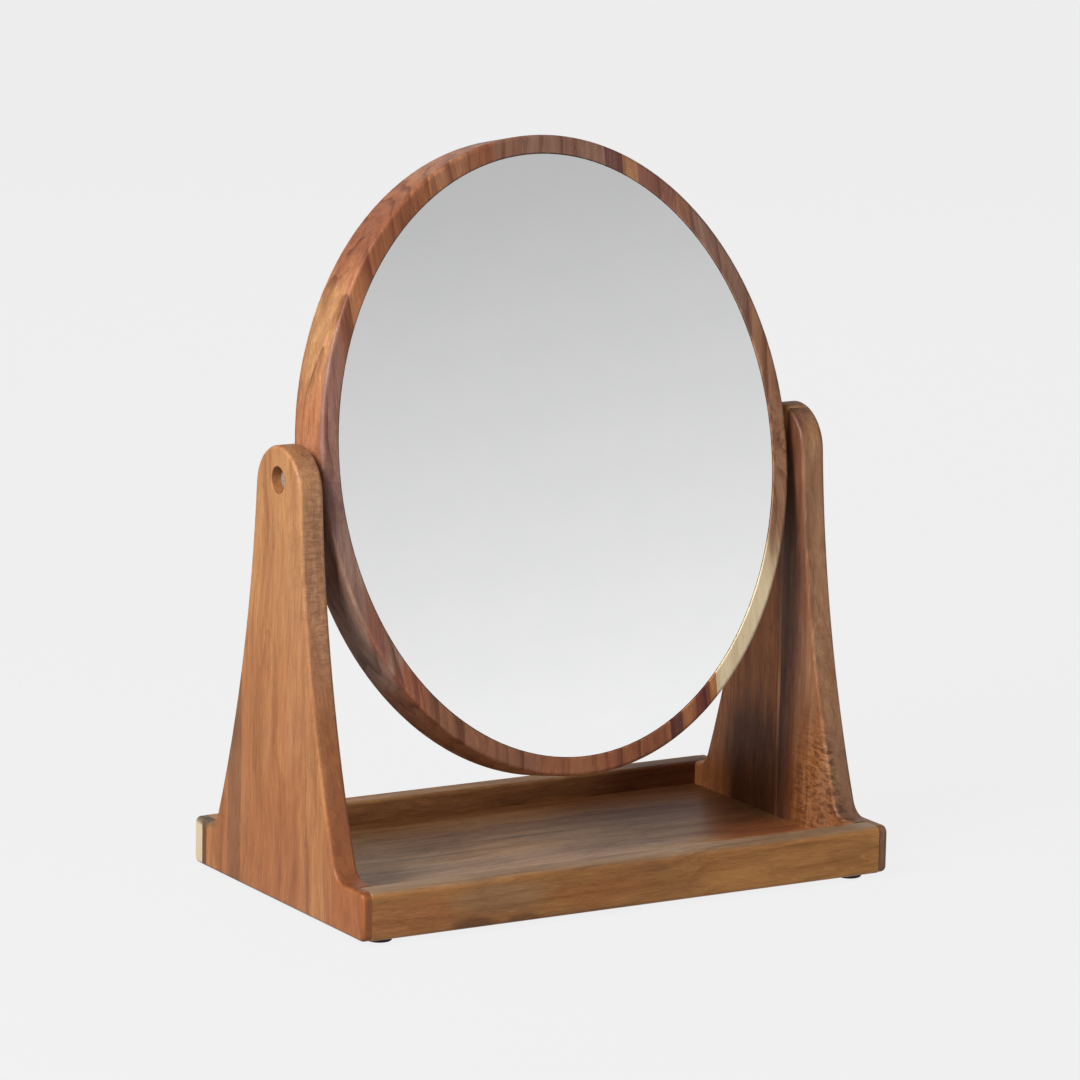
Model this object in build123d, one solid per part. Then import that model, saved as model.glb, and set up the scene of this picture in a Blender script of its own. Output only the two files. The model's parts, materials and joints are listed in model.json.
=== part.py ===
from build123d import *
import os
from math import cos, radians, sin

os.makedirs("parts", exist_ok=True)

# Tabletop tilting mirror on a wooden tray stand, in millimetres.
# The origin is on the table, under the middle of the tray. +X is to the right of
# someone looking into the mirror, -Y is towards them and +Z is up.

# Stand
stand_width = 275.0
stand_depth = 159.0
board = 12.0
foot_height = 2.5
foot_radius = 5.8
foot_inset_x = 14.0
foot_inset_y = 10.5
tray_top = foot_height + 22.0

# Side panels: low ears level with the tray's rails, and a flared upright with a round top
upright_y = 3.0
upright_top = foot_height + 206.4
top_radius = 20.8
shoulder_angle = 4.0
waist_half_depth = 32.4
waist_height = foot_height + 104.0
flare_half_depth = 57.0
flare_fillet = 9.0
ear_corner = 3.5
bottom_corner = 3.0
edge_round = 1.8

# Tray joinery: rails lapped into the panels, a floor rebated in from below and dowelled corners
lap = 7.5
rail_top_round = 3.0
rail_inner_round = 1.5
joint_arris = 0.3
floor_thickness = 11.0
panel_rebate = 3.0
rail_rebate = 4.0
rebate_gap = 0.1
dowel_radius = 2.0
dowel_length = 20.0
dowel_in_rail = 8.0
dowel_height = foot_height + 16.5
glue_gap = 0.05

# Pivots
pivot_height = foot_height + 191.0
rest_tilt = 11.7
counterbore_radius = 6.15
counterbore_depth = 7.1
counterbore_round = 0.4
bush_radius = 3.95
bush_hole_radius = 4.0
bush_bore_radius = 2.56
bush_flange_radius = 5.9
bush_flange = 0.6
running_gap = 0.05
bolt_radius = 2.5
bolt_length = 20.0
bolt_head_radius = 4.75
bolt_head_height = 2.75
hex_socket = 3.0
hex_socket_depth = 1.8
head_washer_radius = 5.0
head_washer = 0.6
gap_washer_radius = 7.0
friction_washer = 1.3
washer_bore_radius = 2.65
washer_gap = 0.1

# Mirror: an oval wooden ring with a glass recess in front and a panel rebate behind
ring_half_width = 121.7
ring_half_height = 144.8
ring_depth = 26.8
ring_rim = 8.3
ring_shelf = 9.0
ring_outer_round = 1.6
ring_inner_round = 0.4
glass_recess = 0.6
glass_thickness = 3.0
glass_gap = 0.1
glass_chamfer = 0.3
tape_thickness = 1.0
tape_inset = 1.2
tape_width = 6.0
panel_thickness = 5.0
panel_recess = 1.0
panel_gap = 0.3
foam_thickness = 3.0
foam_gap = 0.3
spot_face_radius = 8.0
spot_face_x = 120.9

# Threaded inserts and the screws of the back panel
insert_radius = 4.0
insert_bore_radius = 2.55
insert_length = 12.0
insert_hole_depth = 13.0
insert_thread_groove = 0.5
insert_thread_pitch = 2.2
screw_count = 8
screw_inset = 4.9
screw_length = 14.0
screw_shank_radius = 1.4
screw_hole_radius = 1.5
screw_head_radius = 2.8
screw_head_height = 1.6
screw_head_gap = 0.15
cross_slot_length = 3.2
cross_slot_width = 0.7
cross_slot_depth = 0.9

# Worked out from the sizes above
half_width = stand_width / 2
half_depth = stand_depth / 2
inner_x = half_width - board
lap_x = inner_x + lap
rail_inner_y = half_depth - board
floor_top = foot_height + floor_thickness
counterbore_floor_x = half_width - counterbore_depth
head_washer_x = counterbore_floor_x + bush_flange + running_gap
bolt_seat_x = head_washer_x + head_washer
friction_washer_x = inner_x - friction_washer
ring_front = -ring_depth / 2
ring_back = ring_depth / 2
glass_front = ring_front + glass_recess
glass_back = glass_front + glass_thickness
shelf_front = glass_back + tape_thickness
panel_back = ring_back - panel_recess
panel_front = panel_back - panel_thickness
mirror_place = Pos(0, upright_y, pivot_height) * Rot(X=-rest_tilt)


def block(x0, x1, y0, y1, z0, z1):
    """A box between two corners."""
    middle = ((x0 + x1) / 2, (y0 + y1) / 2, (z0 + z1) / 2)
    return Pos(*middle) * Box(x1 - x0, y1 - y0, z1 - z0)


def rod(radius, x0, x1):
    """A round bar along X between two stations, on the axis y = z = 0."""
    return Pos((x0 + x1) / 2, 0, 0) * Rot(Y=90) * Cylinder(radius, x1 - x0)


def tube(outer_radius, bore_radius, x0, x1):
    """A washer or sleeve along X between two stations."""
    return rod(outer_radius, x0, x1) - rod(bore_radius, x0, x1)


def oval(half_x, half_z, front, back):
    """An upright oval plate between two depths, centred on the pivot axis."""
    face = Plane.XZ.offset(-back) * Ellipse(half_x, half_z)
    return extrude(face, back - front)


def ring_oval(inset, front, back):
    """An oval plate that stands in from the ring's outer edge by the same width all round."""
    return oval(ring_half_width - inset, ring_half_height - inset, front, back)


# ---- Stand ----

def panel_outline():
    """A side panel's outline: x is the depth from the stand's middle and y is the height."""
    shoulder_x = top_radius * cos(radians(shoulder_angle))
    shoulder_z = upright_top - top_radius * (1 - sin(radians(shoulder_angle)))
    front_foot = (upright_y - flare_half_depth, tray_top)
    back_foot = (upright_y + flare_half_depth, tray_top)
    front_waist = (upright_y - waist_half_depth, waist_height)
    back_waist = (upright_y + waist_half_depth, waist_height)
    front_shoulder = (upright_y - shoulder_x, shoulder_z)
    back_shoulder = (upright_y + shoulder_x, shoulder_z)
    with BuildSketch() as outline:
        with BuildLine():
            Polyline(front_foot, (-half_depth, tray_top), (-half_depth, foot_height),
                     (half_depth, foot_height), (half_depth, tray_top), back_foot)
            ThreePointArc(back_foot, back_waist, back_shoulder)
            ThreePointArc(back_shoulder, (upright_y, upright_top), front_shoulder)
            ThreePointArc(front_shoulder, front_waist, front_foot)
        make_face()
        at_tray_top = outline.vertices().filter_by_position(Axis.Y, tray_top - 0.01, tray_top + 0.01)
        along_ears = at_tray_top.sort_by(Axis.X)
        fillet(along_ears[1:3], flare_fillet)
        at_tray_top = outline.vertices().filter_by_position(Axis.Y, tray_top - 0.01, tray_top + 0.01)
        along_ears = at_tray_top.sort_by(Axis.X)
        fillet([along_ears[0], along_ears[-1]], ear_corner)
        at_bottom = outline.vertices().filter_by_position(Axis.Y, foot_height - 0.01, foot_height + 0.01)
        fillet(at_bottom, bottom_corner)
    return outline.sketch


def corner_dowel_bars(radius, length):
    """Bars along Y where the dowels pin each rail's lapped end to its side panel."""
    middle_y = rail_inner_y + dowel_in_rail - dowel_length / 2
    middle_x = (inner_x + lap_x) / 2
    bar = Rot(X=90) * Cylinder(radius, length)
    places = [(x, y, dowel_height) for x in (-middle_x, middle_x) for y in (-middle_y, middle_y)]
    return [Pos(*place) * bar for place in places]


def left_side_panel():
    """One board with the left upright and its two ears, housed for the rails and floor."""
    panel = Pos(-half_width, 0, 0) * extrude(Plane.YZ * panel_outline(), board)
    across = panel.faces().sort_by(Axis.X)
    panel = fillet(across[0].edges() + across[-1].edges(), edge_round)
    for sign in (-1, 1):
        y0, y1 = sorted((sign * rail_inner_y, sign * (half_depth + 1)))
        panel -= block(-lap_x, -inner_x + 1, y0, y1, foot_height - 1, tray_top + 1)
    rebate_y = rail_inner_y + rail_rebate
    panel -= block(-inner_x - panel_rebate, -inner_x + 1, -rebate_y, rebate_y, 0, floor_top)
    for bar in corner_dowel_bars(dowel_radius, dowel_length):
        panel -= bar
    pivot = Pos(0, upright_y, pivot_height)
    panel -= pivot * rod(bush_hole_radius, -half_width - 1, -inner_x + 1)
    panel -= pivot * rod(counterbore_radius, -half_width - 1, -counterbore_floor_x)
    rims = panel.edges().filter_by(GeomType.CIRCLE)
    mouth = [edge for edge in rims if abs(edge.radius - counterbore_radius) < 0.01]
    return fillet(ShapeList(mouth).sort_by(Axis.X)[0], counterbore_round)


def rail(sign):
    """A tray rail, lapped into both side panels: sign is -1 in front and +1 behind."""
    y0, y1 = sorted((sign * rail_inner_y, sign * half_depth))
    bar = block(-lap_x, lap_x, y0, y1, foot_height, tray_top)
    long_edges = bar.edges().filter_by(Axis.X)
    top_edges = long_edges.group_by(Axis.Z)[-1].sort_by(Axis.Y)[::-sign]
    bottom_edges = long_edges.group_by(Axis.Z)[0].sort_by(Axis.Y)[::-sign]
    bar = fillet(top_edges[0], rail_top_round)
    bar = fillet(bar.edges().filter_by(Axis.X).sort_by_distance(bottom_edges[0])[0], edge_round)
    bar = fillet(bar.edges().filter_by(Axis.X).sort_by_distance(top_edges[1])[0], rail_inner_round)
    ends = bar.faces().filter_by(Axis.X)
    bar = chamfer(ends.edges(), joint_arris)
    rebate_x = inner_x + panel_rebate
    r0, r1 = sorted((sign * (rail_inner_y - 1), sign * (rail_inner_y + rail_rebate)))
    bar -= block(-rebate_x, rebate_x, r0, r1, 0, floor_top)
    for dowel in corner_dowel_bars(dowel_radius, dowel_length):
        bar -= dowel
    return bar


def tray_floor():
    """The tray's floor, let into rebates under the rails and the side panels."""
    x = inner_x + panel_rebate - rebate_gap
    y = rail_inner_y + rail_rebate - rebate_gap
    return block(-x, x, -y, y, foot_height, floor_top)


def corner_dowels():
    """Four dowels, one in each corner of the tray."""
    bars = corner_dowel_bars(dowel_radius - glue_gap, dowel_length - 2 * glue_gap)
    return Compound([chamfer(bar.edges().filter_by(GeomType.CIRCLE), 0.4) for bar in bars])


def foot(side, end):
    """A rubber bumper under one corner of the tray."""
    puck = Pos(0, 0, foot_height / 2) * Cylinder(foot_radius, foot_height)
    puck = fillet(puck.edges().group_by(Axis.Z)[0], 0.8)
    return Pos(side * (half_width - foot_inset_x), end * (half_depth - foot_inset_y), 0) * puck


# ---- Pivots: every piece is made for the right-hand side, on the axis y = z = 0 ----

def pivot_bush():
    """A nylon bush through the upright, with its flange in the counterbore."""
    sleeve = rod(bush_radius, inner_x, counterbore_floor_x)
    flange = rod(bush_flange_radius, counterbore_floor_x, counterbore_floor_x + bush_flange)
    return sleeve + flange - rod(bush_bore_radius, inner_x - 1, half_width)


def friction_washer_ring():
    """The washer on the upright's inner face, which holds the mirror where it is put."""
    return tube(gap_washer_radius, washer_bore_radius, friction_washer_x, inner_x)


def spacer_washer():
    """The washer between the friction washer and the ring's spot face."""
    return tube(gap_washer_radius, washer_bore_radius, spot_face_x, friction_washer_x - washer_gap)


def head_washer_ring():
    """The steel washer under the bolt's head."""
    return tube(head_washer_radius, washer_bore_radius, head_washer_x, head_washer_x + head_washer)


def pivot_bolt():
    """A button-head socket bolt, screwed into the ring's insert."""
    head = rod(bolt_head_radius, bolt_seat_x, bolt_seat_x + bolt_head_height)
    head = fillet(head.edges().sort_by(Axis.X)[-1], bolt_head_height - 0.35)
    shank = rod(bolt_radius, bolt_seat_x - bolt_length, bolt_seat_x)
    shank = chamfer(shank.edges().sort_by(Axis.X)[0], 0.5)
    socket = RegularPolygon(hex_socket / 2, 6, major_radius=False)
    top = bolt_seat_x + bolt_head_height
    socket = extrude(Plane.YZ.offset(top) * socket, -hex_socket_depth)
    return head + shank - socket


def threaded_insert():
    """A brass insert with a coarse outer thread and a driver slot."""
    outer_end = spot_face_x - 0.1
    insert = tube(insert_radius, insert_bore_radius, outer_end - insert_length, outer_end)
    for turn in range(1, 5):
        x = outer_end - turn * insert_thread_pitch
        insert -= tube(insert_radius + 1, insert_radius - insert_thread_groove, x - 0.5, x + 0.5)
    slot = Pos(outer_end, 0, 0) * Box(2.4, 1.0, 2 * insert_radius + 1)
    return insert - slot


# ---- Mirror: made upright, centred on the pivot axis ----

def screw_axes():
    """Places on the back panel where its screws go, evenly spaced round the oval."""
    half_x = ring_half_width - ring_rim - screw_inset
    half_z = ring_half_height - ring_rim - screw_inset
    turns = [radians(360 * (index + 0.5) / screw_count) for index in range(screw_count)]
    return [Pos(half_x * cos(turn), 0, half_z * sin(turn)) for turn in turns]


def screw_body(shank_radius, length, head_radius):
    """A countersunk screw's solid, its head flush with the panel's back face."""
    shank = Pos(0, panel_back - length / 2, 0) * Rot(X=90) * Cylinder(shank_radius, length)
    head = Cone(head_radius, shank_radius, screw_head_height)
    return shank + Pos(0, panel_back - screw_head_height / 2, 0) * Rot(X=90) * head


def mirror_frame():
    """The oval wooden ring, with a shelf between the glass recess and the panel rebate."""
    ring = ring_oval(0, ring_front, ring_back)
    ring = fillet(ring.edges().filter_by(GeomType.ELLIPSE), ring_outer_round)
    ring -= ring_oval(ring_rim, ring_front - 1, shelf_front)
    mouth = ring.edges().group_by(Axis.Y)[0].sort_by(SortBy.LENGTH)[0]
    ring = fillet(mouth, ring_inner_round)
    ring -= ring_oval(ring_rim + ring_shelf, ring_front, ring_back)
    ring -= ring_oval(ring_rim, panel_front, ring_back + 1)
    for side in (1, -1):
        ring -= rod(spot_face_radius, *sorted((side * spot_face_x, side * (ring_half_width + 1))))
        hole_end = spot_face_x - insert_hole_depth
        ring -= rod(insert_radius, *sorted((side * hole_end, side * ring_half_width)))
    for axis in screw_axes():
        ring -= axis * screw_body(screw_hole_radius, screw_length + 0.5, screw_head_radius)
    return ring


def mirror_glass():
    """Silvered glass with a ground edge."""
    glass = ring_oval(ring_rim + glass_gap, glass_front, glass_back)
    return chamfer(glass.edges().group_by(Axis.Y)[0], glass_chamfer)


def adhesive_tape():
    """The foam tape that holds the glass on the ring's shelf."""
    outer = ring_rim + tape_inset
    tape = ring_oval(outer, glass_back, shelf_front)
    return tape - ring_oval(outer + tape_width, glass_back, shelf_front)


def foam_sheet():
    """The foam sheet on the back of the glass, inside the ring's shelf."""
    return ring_oval(ring_rim + ring_shelf + foam_gap, glass_back, glass_back + foam_thickness)


def back_panel():
    """The plywood panel that closes the back of the ring."""
    panel = ring_oval(ring_rim + panel_gap, panel_front, panel_back)
    for axis in screw_axes():
        panel -= axis * screw_body(screw_hole_radius, screw_length, screw_head_radius)
    return panel


def back_panel_screws():
    """The cross-head wood screws that hold the back panel."""
    screw = screw_body(screw_shank_radius, screw_length, screw_head_radius - screw_head_gap)
    screw -= Pos(0, panel_back, 0) * Box(cross_slot_length, 2 * cross_slot_depth, cross_slot_width)
    screw -= Pos(0, panel_back, 0) * Box(cross_slot_width, 2 * cross_slot_depth, cross_slot_length)
    return Compound([axis * screw for axis in screw_axes()])


def left_of(piece):
    """The same piece on the left-hand side."""
    return mirror(piece, about=Plane.YZ)


left_panel = left_side_panel()
pivot_axis = Pos(0, upright_y, pivot_height)

pieces = {
    "side_panel_left": left_panel,
    "side_panel_right": left_of(left_panel),
    "front_rail": rail(-1),
    "back_rail": rail(1),
    "tray_floor": tray_floor(),
    "corner_dowels": corner_dowels(),
    "mirror_frame": mirror_place * mirror_frame(),
    "mirror_glass": mirror_place * mirror_glass(),
    "adhesive_tape": mirror_place * adhesive_tape(),
    "foam_sheet": mirror_place * foam_sheet(),
    "back_panel": mirror_place * back_panel(),
    "back_panel_screws": mirror_place * back_panel_screws(),
}

for end_name, end in (("front", -1), ("back", 1)):
    for side_name, side in (("left", -1), ("right", 1)):
        pieces[f"foot_{end_name}_{side_name}"] = foot(side, end)

still_hardware = {"pivot_bush": pivot_bush(), "friction_washer": friction_washer_ring()}
for name, piece in still_hardware.items():
    pieces[f"{name}_right"] = pivot_axis * piece
    pieces[f"{name}_left"] = pivot_axis * left_of(piece)

turning_hardware = {
    "spacer_washer": spacer_washer(),
    "head_washer": head_washer_ring(),
    "pivot_bolt": pivot_bolt(),
    "threaded_insert": threaded_insert(),
}
for name, piece in turning_hardware.items():
    pieces[f"{name}_right"] = mirror_place * piece
    pieces[f"{name}_left"] = mirror_place * left_of(piece)

for name, piece in pieces.items():
    export_step(piece, f"parts/{name}.step")
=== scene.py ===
import json
from math import cos, radians, sin

import bpy
from mathutils import Matrix, Vector


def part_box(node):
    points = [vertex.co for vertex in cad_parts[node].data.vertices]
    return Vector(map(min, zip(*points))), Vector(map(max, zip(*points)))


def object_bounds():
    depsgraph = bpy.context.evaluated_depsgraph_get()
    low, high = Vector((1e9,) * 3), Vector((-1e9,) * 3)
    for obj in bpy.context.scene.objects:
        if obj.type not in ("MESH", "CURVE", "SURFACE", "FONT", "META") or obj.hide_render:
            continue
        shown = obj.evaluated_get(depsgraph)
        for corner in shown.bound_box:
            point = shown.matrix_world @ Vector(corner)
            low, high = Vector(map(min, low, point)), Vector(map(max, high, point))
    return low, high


# Tabletop tilting mirror: finishes, studio and camera round the CAD frame.
# The frame is in metres. The finishes work in millimetres, which suit the size of grain and pores.

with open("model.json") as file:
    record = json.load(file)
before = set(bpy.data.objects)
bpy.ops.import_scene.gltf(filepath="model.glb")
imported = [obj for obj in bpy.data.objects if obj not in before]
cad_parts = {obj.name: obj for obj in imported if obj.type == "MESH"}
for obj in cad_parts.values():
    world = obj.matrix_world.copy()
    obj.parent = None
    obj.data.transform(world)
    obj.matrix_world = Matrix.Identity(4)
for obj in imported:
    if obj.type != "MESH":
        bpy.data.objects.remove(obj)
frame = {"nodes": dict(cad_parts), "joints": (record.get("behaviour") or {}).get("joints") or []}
nodes = frame["nodes"]
cad_low, cad_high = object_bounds()
centre = (cad_low + cad_high) / 2
pivot = Vector(frame["joints"][0]["pos_m"])

millimetres = 1000.0
rest_tilt = radians(11.7)

# Camera: in front, to the left and a little above
camera_azimuth = radians(30.93)
camera_elevation = radians(11.35)
camera_roll = radians(1.145)
camera_distance = 2.6208
camera_lens = 192.8
camera_target = centre + Vector((-0.004, 0.0, -0.0131))

# Studio: how bright the sweep and the floor look, and how much light the floor and the room give
sweep_white = 0.871
floor_glow = 0.845
floor_behind = 0.3  # the floor behind the object, as a reflection shows it
floor_bounce = 0.25
floor_albedo = 0.03
floor_reach = 30.0
middle_ground = 0.3  # how far before and behind the object the floor's reflection fades
room_by_height = [(0.0, 0.935), (7.0, 0.93), (12.3, 0.535), (24.0, 0.36), (90.0, 0.28)]  # degrees, grey
room_by_side = [(-1.0, 0.35), (-0.2, 0.6), (0.4, 1.0)]  # left is -1 and right is 1, grey
room_on_matt = 0.55  # the share of the room's light that matt surfaces get

# Acacia figure: how fast each layer changes across, through and along a board, per millimetre
sway_grain = (0.012, 0.012, 0.009)
broad_grain = (0.08, 0.08, 0.008)
medium_grain = (0.32, 0.32, 0.016)
fine_grain = (1.7, 1.7, 0.06)
blotch_grain = (0.10, 0.10, 0.035)
fleck_grain = (0.9, 0.9, 0.09)
pore_grain = (0.9, 0.9, 0.13)
curl_grain = (0.16, 0.16, 0.55)

sway_width = 22.0  # how far the figure wanders across the grain, in millimetres
seed_length = 900.0  # how far a stave's tone moves its figure along the grain, in millimetres
last_stave = 50.0  # the width allowed for a board's last stave
relief_depth = 0.00004  # the wood's surface relief, in metres

mix_first, mix_second = 6, 7  # the Mix node's two colour sockets


def tone(red, green, blue):
    """A colour given as 0 to 255 display values, as the linear colour that shaders use."""
    linear = [(value / 255) ** 2.2 for value in (red, green, blue)]
    return (*linear, 1.0)


# ---- Shader building ----

class Finish:
    """One material's node tree, with a short call for each kind of node that the finishes share."""

    def __init__(self, name, **uniform):
        self.material = bpy.data.materials.new(name)
        self.material.use_nodes = True
        tree = self.material.node_tree
        self.nodes = tree.nodes
        self.links = tree.links
        self.shader = self.nodes["Principled BSDF"]
        for socket, value in uniform.items():
            self.shader.inputs[socket.replace("_", " ")].default_value = value

    def put(self, value, socket):
        """Links an output to a socket, or sets a plain value on it."""
        if isinstance(value, bpy.types.NodeSocket):
            self.links.new(value, socket)
        else:
            socket.default_value = value

    def math(self, operation, first, second=0.0, third=0.0):
        node = self.nodes.new("ShaderNodeMath")
        node.operation = operation
        for value, socket in zip((first, second, third), node.inputs):
            self.put(value, socket)
        return node.outputs[0]

    def vector(self, operation, first, second):
        node = self.nodes.new("ShaderNodeVectorMath")
        node.operation = operation
        self.put(first, node.inputs[0])
        self.put(second, node.inputs[1])
        return node.outputs["Value" if operation in ("LENGTH", "DISTANCE") else "Vector"]

    def spread(self, value, low, high, to_low=0.0, to_high=1.0):
        """Maps low..high to to_low..to_high with soft ends."""
        node = self.nodes.new("ShaderNodeMapRange")
        node.interpolation_type = "SMOOTHSTEP"
        for number, socket in zip((value, low, high, to_low, to_high), node.inputs):
            self.put(number, socket)
        return node.outputs[0]

    def split(self, vector):
        node = self.nodes.new("ShaderNodeSeparateXYZ")
        self.put(vector, node.inputs[0])
        return node.outputs

    def join(self, x, y, z):
        node = self.nodes.new("ShaderNodeCombineXYZ")
        for value, socket in zip((x, y, z), node.inputs):
            self.put(value, socket)
        return node.outputs[0]

    def noise(self, vector, detail=2.0, roughness=0.5, distortion=0.0):
        node = self.nodes.new("ShaderNodeTexNoise")
        self.put(vector, node.inputs["Vector"])
        node.inputs["Scale"].default_value = 1.0
        node.inputs["Detail"].default_value = detail
        node.inputs["Roughness"].default_value = roughness
        node.inputs["Distortion"].default_value = distortion
        return node.outputs["Fac"]

    def facing(self, axis):
        """How squarely the surface faces along an axis of the frame, either way, from 0 to 1."""
        normal = self.nodes.new("ShaderNodeTexCoord").outputs["Normal"]
        return self.math("ABSOLUTE", self.split(normal)[axis])

    def cells(self, vector):
        """Distance to the nearest of many scattered points."""
        node = self.nodes.new("ShaderNodeTexVoronoi")
        self.put(vector, node.inputs["Vector"])
        node.inputs["Scale"].default_value = 1.0
        return node.outputs["Distance"]

    def ramp(self, factor, stops, interpolation="LINEAR"):
        node = self.nodes.new("ShaderNodeValToRGB")
        self.put(factor, node.inputs[0])
        node.color_ramp.interpolation = interpolation
        elements = node.color_ramp.elements
        while len(elements) < len(stops):
            elements.new(1.0)
        while len(elements) > len(stops):
            elements.remove(elements[-1])
        for element, (position, colour) in zip(elements, sorted(stops)):
            element.position = position
            element.color = colour
        return node.outputs["Color"]

    def channels(self, colour):
        """The red, green and blue of a colour."""
        node = self.nodes.new("ShaderNodeSeparateColor")
        self.put(colour, node.inputs[0])
        return node.outputs

    def mix(self, factor, first, second, blend="MIX"):
        node = self.nodes.new("ShaderNodeMix")
        node.data_type = "RGBA"
        node.blend_type = blend
        self.put(factor, node.inputs["Factor"])
        self.put(first, node.inputs[mix_first])
        self.put(second, node.inputs[mix_second])
        return node.outputs[2]

    def bump(self, height, depth):
        """Raises the surface by depth, in metres, where height is 1."""
        node = self.nodes.new("ShaderNodeBump")
        node.inputs["Distance"].default_value = depth
        self.put(height, node.inputs["Height"])
        self.links.new(node.outputs["Normal"], self.shader.inputs["Normal"])

    def place(self, body):
        """Position in millimetres: the stand's as it is, the mirror's upright and centred on the pivot."""
        coordinates = self.nodes.new("ShaderNodeTexCoord").outputs["Object"]
        if body == "stand":
            return self.vector("MULTIPLY", coordinates, (millimetres,) * 3)
        turn = self.nodes.new("ShaderNodeMapping")
        turn.vector_type = "POINT"
        turn.inputs["Rotation"].default_value = (rest_tilt, 0.0, 0.0)
        turn.inputs["Scale"].default_value = (millimetres,) * 3
        self.put(self.vector("SUBTRACT", coordinates, pivot), turn.inputs["Vector"])
        return turn.outputs[0]

    def paint(self, colour, roughness):
        self.put(colour, self.shader.inputs["Base Color"])
        self.put(roughness, self.shader.inputs["Roughness"])
        return self.material


def dress(material, *names):
    """Gives CAD nodes a finish in place of the plain one they come with."""
    for name in names:
        for slot in nodes[name].material_slots:
            slot.material = material


# ---- Wood ----

def board_axes(finish, body, grain):
    """A board's position as across the grain, through the board and along the grain."""
    x, y, z = finish.split(finish.place(body))
    across_through_along = {"panel": (y, x, z), "rail": (y, z, x), "ring": (x, y, z)}
    return finish.join(*across_through_along[grain])


def stave_tones(finish, across, staves):
    """The tone of each glued-up stave, from a list of where each starts and its colour."""
    first, last = staves[0][0], staves[-1][0] + last_stave
    stops = [((start - first) / (last - first), colour) for start, colour in staves]
    share = finish.math("DIVIDE", finish.math("SUBTRACT", across, first), last - first)
    return finish.ramp(share, stops, "CONSTANT")


def patch(finish, place, base, middle, reach, tint, strength):
    """Tints an oval region of the board, with an edge that wanders along the grain."""
    wander = finish.noise(finish.vector("MULTIPLY", place, (0.15, 0.15, 0.02)), 2.0)
    scaled = finish.vector("DIVIDE", finish.vector("SUBTRACT", place, middle), reach)
    ragged, outside, inside = 0.7, 1.4, 0.6
    distance = finish.vector("LENGTH", scaled, (0, 0, 0))
    distance = finish.math("MULTIPLY_ADD", finish.math("SUBTRACT", wander, 0.5), ragged, distance)
    return finish.mix(finish.spread(distance, outside, inside, 0.0, strength), base, tint)


def growth_rings(finish, swayed, pith, spacing):
    """Dark latewood lines where the board cuts the tree's rings, which run round a pith beside the board."""
    offset = finish.vector("SUBTRACT", swayed, (*pith, 0.0))
    radius = finish.vector("LENGTH", finish.vector("MULTIPLY", offset, (1, 1, 0)), (0, 0, 0))
    wander = finish.noise(finish.vector("MULTIPLY", swayed, (0.03, 0.03, 0.005)), 2.0)
    phase = finish.math("MULTIPLY_ADD", wander, 4.0, finish.math("DIVIDE", radius, spacing))
    return finish.spread(finish.math("FRACT", phase), 0.45, 1.0)


def flecks(finish, swayed):
    """Short dark dashes along the grain, thinned out in some places."""
    dash = finish.noise(finish.vector("MULTIPLY", swayed, fleck_grain), 2.0, 0.7)
    cover = finish.noise(finish.vector("MULTIPLY", swayed, (0.05, 0.05, 0.02)), 1.0)
    dash = finish.math("MULTIPLY_ADD", cover, 0.25, dash)
    return finish.spread(dash, 0.76, 0.66)


def end_grain(finish, colour):
    """Darkens and greys an upright board where its surface cuts across the fibres, which soak up more oil."""
    cut = finish.spread(finish.facing("Z"), 0.35, 0.95)
    speckle = finish.noise(finish.vector("MULTIPLY", finish.place("stand"), (1.3, 1.3, 1.3)), 3.0, 0.7)
    shade = finish.ramp(speckle, [(0.35, (0.50, 0.48, 0.48, 1)), (0.60, (0.88, 0.87, 0.88, 1))])
    return finish.mix(cut, colour, finish.mix(1.0, colour, shade, "MULTIPLY"))


def painted_arris_highlight(finish, place, colour):
    """Lightens a panel's rounded edges here and there: a painted highlight standing in for the light that the
    rounded edges catch.
    """
    square = finish.facing("X")
    rounded = finish.math("MULTIPLY", finish.spread(square, 0.25, 0.50), finish.spread(square, 0.96, 0.80))
    uneven = finish.noise(finish.vector("MULTIPLY", place, (0.2, 0.2, 0.05)), 2.0)
    arris_highlight = finish.math("MULTIPLY", rounded, finish.spread(uneven, 0.35, 0.65, 0.1, 0.6))
    return finish.mix(arris_highlight, colour, (1.28, 1.26, 1.22, 1), "MULTIPLY")


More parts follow.
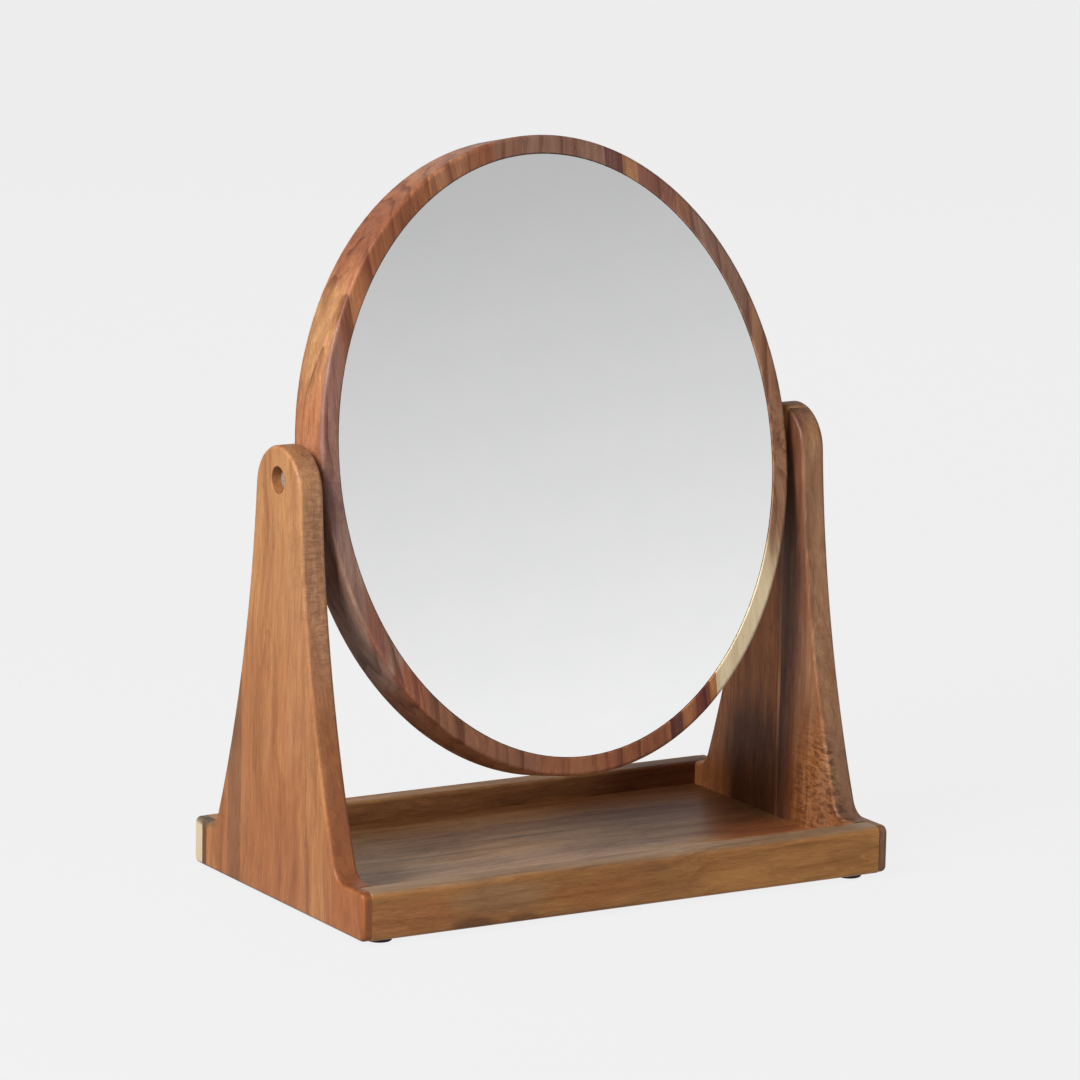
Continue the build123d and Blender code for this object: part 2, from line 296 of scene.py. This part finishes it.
def acacia(name, body, grain, staves, lower_staves=None, patches=(), curls=(), streak=0.6, rings=0.25,
           pores=0.3, mottle=0.8, roughness=0.46, pith=(30.0, 60.0), spacing=9.0):
    """Oiled acacia: staves of differing tone, streaks, growth rings, open pores and a satin surface.

    Staves are (start across the board, tone). Patches are (middle, reach, tone, strength) and curls are
    (middle, reach, strength), with places across, through and along the board in millimetres.
    """
    finish = Finish(name, Specular_IOR_Level=0.36)
    place = board_axes(finish, body, grain)
    across, through, along = finish.split(place)

    colour = stave_tones(finish, across, staves)
    if lower_staves:
        upper = finish.spread(along, -25.0, 25.0)
        colour = finish.mix(upper, stave_tones(finish, across, lower_staves), colour)
    seed = finish.math("MULTIPLY", finish.channels(colour)["Red"], seed_length)
    for middle, reach, tint, strength in patches:
        colour = patch(finish, place, colour, middle, reach, tint, strength)
    # Sapwood shows by its blue, which is stronger than heartwood's
    heartwood = finish.spread(finish.channels(colour)["Blue"], 0.26, 0.38, 1.0, 0.3)

    def shade(base, factor, tint):
        """Darkens the wood; pale sapwood takes less of it."""
        return finish.mix(finish.math("MULTIPLY", heartwood, factor), base, tint, "MULTIPLY")

    # The figure follows the grain, wanders slowly across it and starts afresh in each stave
    sway = finish.noise(finish.vector("MULTIPLY", place, sway_grain), 2.0)
    sway = finish.math("MULTIPLY", finish.math("SUBTRACT", sway, 0.5), sway_width)
    swayed = finish.join(finish.math("ADD", across, sway), through, finish.math("ADD", along, seed))
    broad = finish.noise(finish.vector("MULTIPLY", swayed, broad_grain), 3.0, 0.5, 0.6)
    medium = finish.noise(finish.vector("MULTIPLY", swayed, medium_grain), 3.0, 0.6, 0.4)
    fine = finish.noise(finish.vector("MULTIPLY", swayed, fine_grain), 2.0, 0.6)
    blotch = finish.noise(finish.vector("MULTIPLY", swayed, blotch_grain), 3.0, 0.6, 1.0)
    colour = shade(colour, streak, finish.ramp(broad, [
        (0.34, (0.70, 0.60, 0.56, 1)),
        (0.47, (0.95, 0.91, 0.89, 1)),
        (0.64, (1.0, 1.0, 0.97, 1)),
    ]))
    colour = shade(colour, streak, finish.ramp(medium, [
        (0.34, (0.66, 0.58, 0.54, 1)),
        (0.45, (0.92, 0.88, 0.86, 1)),
        (0.58, (1.0, 1.0, 1.0, 1)),
    ]))
    colour = shade(colour, streak, finish.ramp(fine, [
        (0.34, (0.80, 0.75, 0.72, 1)),
        (0.56, (1.0, 1.0, 1.0, 1)),
    ]))
    colour = shade(colour, mottle, finish.ramp(blotch, [
        (0.34, (0.74, 0.69, 0.66, 1)),
        (0.50, (0.95, 0.94, 0.93, 1)),
        (0.62, (1.0, 1.0, 0.98, 1)),
    ]))
    dashes = flecks(finish, swayed)
    colour = shade(colour, finish.math("MULTIPLY", dashes, mottle * 0.5), (0.58, 0.48, 0.43, 1))

    # Growth rings fade in and out along the board
    line = growth_rings(finish, swayed, pith, spacing)
    line = finish.math("MULTIPLY", line, finish.spread(broad, 0.66, 0.40, 0.15, 1.0))
    colour = shade(colour, finish.math("MULTIPLY", line, rings), (0.46, 0.34, 0.28, 1))

    # Curl: short bars across the grain that catch the light
    for middle, reach, strength in curls:
        bars = finish.noise(finish.vector("MULTIPLY", place, curl_grain), 3.0, 0.65, 0.8)
        bars = finish.ramp(bars, [(0.40, (0.34, 0.26, 0.22, 1)), (0.56, (1.0, 1.0, 1.0, 1))])
        curled = finish.mix(1.0, colour, bars, "MULTIPLY")
        colour = patch(finish, place, colour, middle, reach, curled, strength)

    # Open pores: short dark dashes along the grain
    pore = finish.cells(finish.vector("MULTIPLY", swayed, pore_grain))
    pore = finish.spread(pore, 0.24, 0.10)
    colour = shade(colour, finish.math("MULTIPLY", pore, pores), (0.30, 0.24, 0.20, 1))
    if grain == "panel":
        # Painted highlight along the panels' rounded edges
        colour = painted_arris_highlight(finish, place, end_grain(finish, colour))

    # Pores sink and fibres stand up a little; pores and dark streaks are duller
    relief = finish.math("MULTIPLY_ADD", pore, -1.0, finish.math("MULTIPLY", fine, 0.5))
    finish.bump(relief, relief_depth)
    dullness = finish.math("MULTIPLY_ADD", medium, -0.2, roughness + 0.1)
    dullness = finish.math("MULTIPLY_ADD", pore, 0.2, dullness)
    return finish.paint(colour, dullness)


def left_panel_wood():
    """Left side panel: orange-brown, yellower at the top, with sapwood behind and a curly front edge."""
    staves = [
        (-90.0, tone(182, 112, 62)),
        (-51.0, tone(200, 140, 95)),
        (-8.0, tone(198, 137, 90)),
        (34.0, tone(152, 108, 76)),
        (47.0, tone(196, 132, 84)),
        (67.0, tone(122, 84, 56)),
        (71.5, tone(228, 206, 170)),
    ]
    outer, edge = -137.5, -129.0  # the outer face, and inside the thickness for tones on the edges
    patches = [
        ((0.0, outer, 205.0), (60.0, 8.0, 80.0), tone(202, 148, 98), 0.8),
        ((-20.0, outer, 15.0), (60.0, 8.0, 50.0), tone(182, 114, 70), 0.7),
        ((-34.0, outer, 40.0), (12.0, 8.0, 60.0), tone(202, 144, 92), 0.6),
        ((-30.0, edge, 165.0), (34.0, 8.0, 66.0), tone(204, 153, 115), 0.95),
        ((-50.0, edge, 50.0), (36.0, 8.0, 60.0), tone(167, 106, 69), 0.95),
        ((74.0, edge - 2.0, 25.0), (15.0, 12.0, 3.5), tone(112, 98, 80), 0.9),
    ]
    curls = [((-30.0, edge, 165.0), (34.0, 8.0, 62.0), 0.45)]
    return acacia("acacia_left_panel", "stand", "panel", staves, patches=patches, curls=curls, streak=0.5,
                  pores=0.25, mottle=0.6, pith=(20.0, -40.0))


def right_panel_wood():
    """Right side panel: reddish brown inside, golden and curly in front, with darker wood and a painted
    shadow of the mirror low down, and a painted shadow of the ring higher up.
    """
    staves = [
        (-90.0, tone(138, 102, 80)),
        (-74.0, tone(168, 104, 60)),
        (-14.0, tone(134, 87, 60)),
        (-5.0, tone(250, 196, 140)),
        (-2.8, tone(226, 152, 92)),
        (6.0, tone(232, 160, 102)),
        (38.0, tone(228, 156, 102)),
    ]
    inner, edge = 125.5, 131.0  # the inner face, and inside the thickness for tones on the edges
    patches = [
        ((-40.0, inner, 30.0), (24.0, 4.0, 46.0), tone(182, 118, 60), 0.85),
        # Darker wood with a painted shadow of the mirror, low on the inner face
        ((16.0, inner, 25.0), (26.0, 8.0, 42.0), tone(100, 62, 36), 0.85),
        ((-30.0, inner, 112.0), (26.0, 4.0, 46.0), tone(134, 88, 60), 0.8),
        # Painted shadow of the ring on the inner face, just behind its front edge
        ((-14.0, inner, 150.0), (11.0, 4.0, 62.0), tone(126, 86, 68), 0.85),
        ((-40.0, edge + 3.0, 60.0), (50.0, 8.0, 220.0), tone(206, 160, 122), 0.9),
        ((-70.0, edge + 3.0, 20.0), (50.0, 8.0, 50.0), tone(162, 123, 97), 0.9),
    ]
    curls = [((-42.0, inner, 28.0), (26.0, 5.0, 40.0), 0.85)]
    return acacia("acacia_right_panel", "stand", "panel", staves, patches=patches, curls=curls, streak=0.65,
                  rings=0.3, mottle=0.9, pith=(60.0, 170.0))


def front_rail_wood():
    """Front rail: warm brown, golden towards its right end, with dark marks low down and a painted grey-brown
    sheen on top.
    """
    staves = [(-90.0, tone(192, 136, 80))]
    face, top = -80.0, 25.5  # close to the outer face and to the rounded top
    patches = [
        ((face, 14.0, 95.0), (20.0, 20.0, 62.0), tone(220, 158, 90), 0.85),
        ((face, 14.0, -100.0), (20.0, 20.0, 40.0), tone(196, 138, 82), 0.7),
        ((face, 12.0, -112.0), (8.0, 8.0, 22.0), tone(192, 122, 74), 0.6),
        ((face, 15.0, -68.0), (8.0, 7.0, 24.0), tone(180, 142, 104), 0.6),
        ((face, 12.0, -18.0), (8.0, 6.0, 26.0), tone(204, 130, 72), 0.4),
        # Painted sheen: greys and lightens the rounded top, where it would reflect the room
        ((-72.5, top, 0.0), (9.0, 3.2, 400.0), tone(158, 134, 108), 0.9),
        ((face, 4.5, -82.0), (8.0, 3.0, 11.0), tone(108, 64, 40), 0.7),
        ((face, 4.0, -56.0), (8.0, 2.6, 8.0), tone(112, 68, 42), 0.6),
    ]
    return acacia("acacia_front_rail", "stand", "rail", staves, patches=patches, streak=0.6, rings=0.3,
                  mottle=0.6, pith=(-110.0, -10.0), spacing=7.0)


def back_rail_wood():
    """Back rail: yellowish brown, darker towards its right end, where darker wood takes a painted shade in
    the tray's back-right corner.
    """
    staves = [(-90.0, tone(190, 144, 96))]
    # Darker wood with painted shade in the tray's back-right corner
    patches = [((67.0, 18.0, 115.0), (12.0, 12.0, 50.0), tone(120, 74, 48), 0.9)]
    return acacia("acacia_back_rail", "stand", "rail", staves, patches=patches, streak=0.7, rings=0.3,
                  pith=(110.0, -14.0), spacing=7.0)


def tray_floor_wood():
    """Tray floor: brown with faint scratches, reddish and dark at its right, with painted light paling its
    left end and painted shade greying a strip in front.
    """
    staves = [(-90.0, tone(214, 164, 110)), (-34.0, tone(200, 156, 106)), (18.0, tone(202, 154, 104))]
    top = 13.5  # the floor's upper face
    patches = [
        # Painted light: pales the left end, where the left panel's shadow falls
        ((-6.0, top, -100.0), (60.0, 9.0, 45.0), tone(240, 196, 142), 0.8),
        # Painted shade: greys and darkens the strip in front that the key light reaches
        ((-24.0, top, -30.0), (15.0, 9.0, 85.0), tone(178, 146, 118), 0.8),
        ((-30.0, top, 112.0), (34.0, 9.0, 34.0), tone(182, 104, 66), 0.7),
        ((50.0, top, 100.0), (40.0, 9.0, 70.0), tone(132, 84, 56), 0.7),
        ((66.0, top, -20.0), (9.0, 9.0, 140.0), tone(140, 92, 58), 0.7),
        ((-17.0, top, -92.0), (0.9, 9.0, 26.0), tone(244, 216, 178), 0.45),
        ((-11.0, top, -74.0), (0.7, 9.0, 32.0), tone(244, 216, 178), 0.4),
        ((2.0, top, -40.0), (0.8, 9.0, 44.0), tone(120, 84, 60), 0.55),
        ((16.0, top, 10.0), (1.2, 9.0, 60.0), tone(128, 88, 60), 0.6),
    ]
    return acacia("acacia_tray_floor", "stand", "rail", staves, patches=patches, streak=0.65,
                  pores=0.35, roughness=0.38, pith=(-20.0, -30.0), spacing=8.0)


def ring_wood():
    """Mirror ring, cut from upright staves that differ above and below, with sapwood low on the right and a
    painted sheen greying its left side.
    """
    upper = [
        (-130.0, tone(201, 136, 94)),
        (-56.0, tone(188, 132, 98)),
        (-34.0, tone(186, 124, 90)),
        (-22.0, tone(160, 116, 94)),
        (-6.0, tone(168, 129, 111)),
        (35.4, tone(136, 94, 88)),
        (45.0, tone(196, 144, 104)),
        (53.0, tone(164, 114, 98)),
        (71.7, tone(190, 140, 112)),
        (78.0, tone(166, 128, 111)),
        (106.0, tone(186, 136, 106)),
    ]
    lower = [
        # Stave tone greyed by a painted sheen from the pale floor on the lower-left outer wall
        (-130.0, tone(182, 146, 128)),
        (-90.0, tone(166, 116, 88)),
        (-24.0, tone(175, 115, 80)),
        (7.0, tone(175, 111, 76)),
        (45.7, tone(124, 72, 58)),
        (52.2, tone(196, 130, 86)),
        (60.3, tone(142, 78, 60)),
        (67.5, tone(204, 140, 86)),
        (71.3, tone(252, 230, 188)),
    ]
    front, middle = -13.4, 0.0  # the ring's front face, and the middle of its depth
    patches = [
        ((-112.0, middle + 3.0, 70.0), (16.0, 14.0, 34.0), tone(217, 169, 115), 0.75),
        ((-74.0, middle, 104.0), (24.0, 30.0, 24.0), tone(160, 99, 69), 0.9),
        # Painted sheen: greys the front face at the left
        ((-116.0, front - 2.0, 20.0), (16.0, 4.0, 80.0), tone(160, 125, 120), 0.75),
        ((-101.0, front - 1.0, -70.0), (5.0, 4.0, 36.0), tone(156, 100, 84), 0.8),
        # Painted sheen: greys the shaded outer wall at the lower left, where the pale floor would light it
        ((-106.0, middle + 4.0, -56.0), (20.0, 12.0, 44.0), tone(170, 150, 142), 0.8),
        ((-88.0, front, -100.0), (9.0, 5.0, 15.0), tone(176, 108, 84), 0.7),
        ((116.0, middle, -12.0), (22.0, 30.0, 52.0), tone(187, 138, 106), 0.95),
    ]
    return acacia("acacia_ring", "mirror", "ring", upper, lower, patches, streak=0.6, rings=0.85, pores=0.25,
                  pith=(-132.0, -3.0), spacing=10.5)


def dress_wood():
    dress(left_panel_wood(), "side_panel_left")
    dress(right_panel_wood(), "side_panel_right")
    dress(front_rail_wood(), "front_rail")
    dress(back_rail_wood(), "back_rail")
    dress(tray_floor_wood(), "tray_floor")
    dress(ring_wood(), "mirror_frame")


# ---- Other finishes ----

def plywood():
    """Sanded plywood: long pale figure with fine fibres."""
    finish = Finish("plywood", Specular_IOR_Level=0.3)
    place = finish.place("mirror")
    broad = finish.noise(finish.vector("MULTIPLY", place, (0.07, 0.3, 0.006)), 4.0, 0.6, 0.7)
    fibre = finish.noise(finish.vector("MULTIPLY", place, (1.6, 1.6, 0.03)), 3.0, 0.6)
    colour = finish.ramp(broad, [
        (0.32, tone(196, 150, 106)),
        (0.5, tone(218, 176, 132)),
        (0.66, tone(228, 190, 148)),
    ])
    shade = finish.ramp(fibre, [(0.3, (0.72, 0.68, 0.62, 1)), (0.6, (1, 1, 1, 1))])
    colour = finish.mix(0.8, colour, shade, "MULTIPLY")
    finish.bump(fibre, relief_depth)
    return finish.paint(colour, finish.spread(fibre, 0.3, 0.7, 0.72, 0.58))


def beech():
    """Beech dowel: pale, with short brown flecks."""
    finish = Finish("beech", Specular_IOR_Level=0.3)
    place = finish.place("stand")
    fleck = finish.cells(finish.vector("MULTIPLY", place, (1.6, 0.35, 1.6)))
    colour = finish.ramp(fleck, [(0.1, tone(160, 112, 74)), (0.3, tone(214, 176, 130))])
    finish.bump(fleck, 0.00003)
    return finish.paint(colour, finish.spread(fleck, 0.0, 0.6, 0.7, 0.55))


def glass_radius(finish, place):
    """Distance from the mirror's middle, where 1 is the edge of the oval glass."""
    low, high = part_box("mirror_glass")
    half_x = (high.x - low.x) / 2 * millimetres
    half_z = (high.z - low.z) / 2 / cos(rest_tilt) * millimetres
    scaled = finish.vector("MULTIPLY", place, (1 / half_x, 0.0, 1 / half_z))
    return finish.vector("LENGTH", scaled, (0, 0, 0))


def silvered_glass():
    """Silvered glass: a mirror that darkens in a thin band at its ground edge."""
    finish = Finish("silvered_glass", Metallic=1.0)
    place = finish.place("mirror")
    radius = glass_radius(finish, place)
    haze = finish.noise(finish.vector("MULTIPLY", place, (0.05, 0.05, 0.05)), 4.0, 0.6)
    silver = finish.ramp(haze, [(0.3, (0.905, 0.912, 0.910, 1)), (0.7, (0.925, 0.928, 0.926, 1))])
    colour = finish.mix(finish.spread(radius, 0.9965, 0.9995), silver, tone(196, 200, 196))
    return finish.paint(colour, finish.spread(haze, 0.3, 0.7, 0.0, 0.012))


def foam():
    """Closed-cell foam: fine cells in an off-white sheet."""
    finish = Finish("foam", Specular_IOR_Level=0.2)
    cell = finish.cells(finish.vector("MULTIPLY", finish.place("mirror"), (2.2, 2.2, 2.2)))
    colour = finish.ramp(cell, [(0.1, tone(206, 205, 198)), (0.6, tone(240, 240, 234))])
    finish.bump(cell, 0.0001)
    return finish.paint(colour, finish.spread(cell, 0.0, 0.8, 0.95, 0.8))


def moulded(name, body, dark, light, smooth, rough):
    """A moulded plastic or rubber surface with a faint pebbled grain."""
    finish = Finish(name, Specular_IOR_Level=0.4)
    pebble = finish.noise(finish.vector("MULTIPLY", finish.place(body), (1.4, 1.4, 1.4)), 3.0, 0.6)
    colour = finish.ramp(pebble, [(0.35, dark), (0.65, light)])
    finish.bump(pebble, 0.00006)
    return finish.paint(colour, finish.spread(pebble, 0.3, 0.7, smooth, rough))


def turned_metal(name, body, dark, light, smooth, rough, metallic=1.0):
    """Plated or turned metal: fine tool marks round the pivot axis and a cloudy sheen."""
    finish = Finish(name, Metallic=metallic)
    place = finish.place(body)
    x, y, z = finish.split(place)
    radius = finish.vector("LENGTH", finish.join(0.0, y, z), (0, 0, 0))
    marks = finish.noise(finish.vector("MULTIPLY", finish.join(radius, x, 0.0), (9.0, 9.0, 0.0)), 2.0)
    cloud = finish.noise(finish.vector("MULTIPLY", place, (0.5, 0.5, 0.5)), 3.0, 0.6)
    colour = finish.ramp(cloud, [(0.3, dark), (0.7, light)])
    finish.bump(marks, 0.00001)
    return finish.paint(colour, finish.spread(marks, 0.3, 0.7, smooth, rough))


def dress_hardware():
    dress(plywood(), "back_panel")
    dress(beech(), "corner_dowels")
    dress(silvered_glass(), "mirror_glass")
    dress(foam(), "adhesive_tape", "foam_sheet")
    zinc_tones = tone(206, 194, 190), tone(230, 220, 216)
    nylon_tones = tone(214, 210, 198), tone(232, 229, 218)
    zinc = turned_metal("zinc_plated_steel", "mirror", *zinc_tones, 0.34, 0.46, metallic=0.85)
    brass = turned_metal("turned_brass", "mirror", tone(178, 140, 72), tone(214, 176, 104), 0.24, 0.38)
    fibre = moulded("black_fibre", "stand", tone(26, 25, 24), tone(44, 42, 40), 0.62, 0.8)
    still_nylon = moulded("natural_nylon", "stand", *nylon_tones, 0.38, 0.5)
    turning_nylon = moulded("natural_nylon_washer", "mirror", *nylon_tones, 0.38, 0.5)
    rubber = moulded("moulded_rubber", "stand", tone(20, 19, 19), tone(38, 36, 36), 0.55, 0.75)
    dress(zinc, "back_panel_screws")
    for side in ("left", "right"):
        dress(zinc, f"pivot_bolt_{side}", f"head_washer_{side}")
        dress(brass, f"threaded_insert_{side}")
        dress(fibre, f"friction_washer_{side}")
        dress(still_nylon, f"pivot_bush_{side}")
        dress(turning_nylon, f"spacer_washer_{side}")
        dress(rubber, f"foot_front_{side}", f"foot_back_{side}")


# ---- Studio ----

def floor():
    """A plain pale floor: bright to the eye, but dim as a light and dim in reflections from behind."""
    mesh = bpy.data.meshes.new("studio_floor")
    corners = [(-1, -1), (1, -1), (1, 1), (-1, 1)]
    points = [(x * floor_reach, y * floor_reach, cad_low.z) for x, y in corners]
    mesh.from_pydata(points, [], [(0, 1, 2, 3)])
    plane = bpy.data.objects.new("studio_floor", mesh)
    bpy.context.scene.collection.objects.link(plane)
    finish = Finish("studio_floor", Roughness=1.0, Specular_IOR_Level=0.0)
    finish.shader.inputs["Base Color"].default_value = (floor_albedo, floor_albedo, floor_albedo, 1)
    finish.shader.inputs["Emission Color"].default_value = (1, 1, 1, 1)
    rays = finish.nodes.new("ShaderNodeLightPath")
    depth = finish.split(finish.nodes.new("ShaderNodeTexCoord").outputs["Object"])["Y"]
    reflected = finish.spread(depth, -middle_ground, middle_ground, floor_glow, floor_behind)
    glow = finish.math("SUBTRACT", 1.0, rays.outputs["Is Glossy Ray"])
    glow = finish.math("MULTIPLY", glow, floor_glow)
    glow = finish.math("MULTIPLY_ADD", rays.outputs["Is Glossy Ray"], reflected, glow)
    glow = finish.spread(rays.outputs["Is Diffuse Ray"], 0.0, 1.0, glow, floor_bounce)
    finish.put(glow, finish.shader.inputs["Emission Strength"])
    mesh.materials.append(finish.material)


def grey_ramp(tree, factor, stops):
    """A grey ramp in the world's tree, from positions between 0 and 1."""
    node = tree.nodes.new("ShaderNodeValToRGB")
    elements = node.color_ramp.elements
    while len(elements) < len(stops):
        elements.new(1.0)
    for element, (position, grey) in zip(elements, stops):
        element.position = position
        element.color = (grey, grey, grey, 1)
    tree.links.new(factor, node.inputs[0])
    return node.outputs["Color"]


def room():
    """A white sweep as the camera sees it, in a room that darkens towards its ceiling and its left side."""
    world = bpy.data.worlds.new("studio")
    bpy.context.scene.world = world
    world.use_nodes = True
    tree = world.node_tree
    tree.nodes.clear()
    direction = tree.nodes.new("ShaderNodeTexCoord")
    split = tree.nodes.new("ShaderNodeSeparateXYZ")
    tree.links.new(direction.outputs["Generated"], split.inputs[0])
    sideways = tree.nodes.new("ShaderNodeMapRange")
    tree.links.new(split.outputs["X"], sideways.inputs["Value"])
    sideways.inputs["From Min"].default_value = -1.0
    heights = [(sin(radians(elevation)), grey) for elevation, grey in room_by_height]
    sides = [((side + 1) / 2, grey) for side, grey in room_by_side]
    by_height = grey_ramp(tree, split.outputs["Z"], heights)
    by_side = grey_ramp(tree, sideways.outputs[0], sides)
    both = tree.nodes.new("ShaderNodeMix")
    both.data_type = "RGBA"
    both.blend_type = "MULTIPLY"
    both.inputs["Factor"].default_value = 1.0
    tree.links.new(by_height, both.inputs[mix_first])
    tree.links.new(by_side, both.inputs[mix_second])
    room_light = tree.nodes.new("ShaderNodeBackground")
    tree.links.new(both.outputs[2], room_light.inputs["Color"])
    sweep = tree.nodes.new("ShaderNodeBackground")
    sweep.inputs["Color"].default_value = (sweep_white, sweep_white, sweep_white, 1)
    rays = tree.nodes.new("ShaderNodeLightPath")
    strength = tree.nodes.new("ShaderNodeMapRange")
    tree.links.new(rays.outputs["Is Diffuse Ray"], strength.inputs["Value"])
    strength.inputs["To Min"].default_value = 1.0
    strength.inputs["To Max"].default_value = room_on_matt
    tree.links.new(strength.outputs[0], room_light.inputs["Strength"])
    choose = tree.nodes.new("ShaderNodeMixShader")
    output = tree.nodes.new("ShaderNodeOutputWorld")
    tree.links.new(rays.outputs["Is Camera Ray"], choose.inputs["Fac"])
    tree.links.new(room_light.outputs[0], choose.inputs[1])
    tree.links.new(sweep.outputs[0], choose.inputs[2])
    tree.links.new(choose.outputs[0], output.inputs["Surface"])


def softbox(name, azimuth, elevation, distance, size, power, shiny=False):
    """A square soft lamp aimed at the object; azimuth 0 is in front and 90 is on the right."""
    light = bpy.data.lights.new(name, "AREA")
    light.shape = "SQUARE"
    light.size = size
    light.energy = power
    lamp = bpy.data.objects.new(name, light)
    bpy.context.scene.collection.objects.link(lamp)
    turn, rise = radians(azimuth), radians(elevation)
    outward = Vector((sin(turn) * cos(rise), -cos(turn) * cos(rise), sin(rise)))
    lamp.location = centre + outward * distance
    lamp.rotation_mode = "QUATERNION"
    lamp.rotation_quaternion = outward.to_track_quat("Z", "Y")
    lamp.visible_camera = False
    lamp.visible_glossy = shiny


def camera():
    """The camera, turned about its own axis by the roll."""
    azimuth, elevation = camera_azimuth, camera_elevation
    forward = Vector((sin(azimuth) * cos(elevation), cos(azimuth) * cos(elevation), -sin(elevation)))
    level_right = Vector((cos(azimuth), -sin(azimuth), 0.0))
    level_up = level_right.cross(forward)
    right = level_right * cos(camera_roll) + level_up * sin(camera_roll)
    up = level_up * cos(camera_roll) - level_right * sin(camera_roll)
    data = bpy.data.cameras.new("camera")
    data.sensor_width = 36.0
    data.lens = camera_lens
    viewer = bpy.data.objects.new("camera", data)
    bpy.context.scene.collection.objects.link(viewer)
    turn = Matrix((right, up, -forward)).transposed().to_4x4()
    viewer.matrix_world = Matrix.Translation(camera_target - forward * camera_distance) @ turn
    bpy.context.scene.camera = viewer


dress_wood()
dress_hardware()
floor()
room()
softbox("key_softbox", azimuth=-75.0, elevation=34.0, distance=1.6, size=0.7, power=30.0, shiny=True)
softbox("fill_softbox", azimuth=-35.0, elevation=25.0, distance=2.0, size=1.2, power=4.0)
softbox("back_softbox", azimuth=150.0, elevation=30.0, distance=2.0, size=1.0, power=5.0)
camera()
bpy.context.scene.view_settings.view_transform = "Standard"
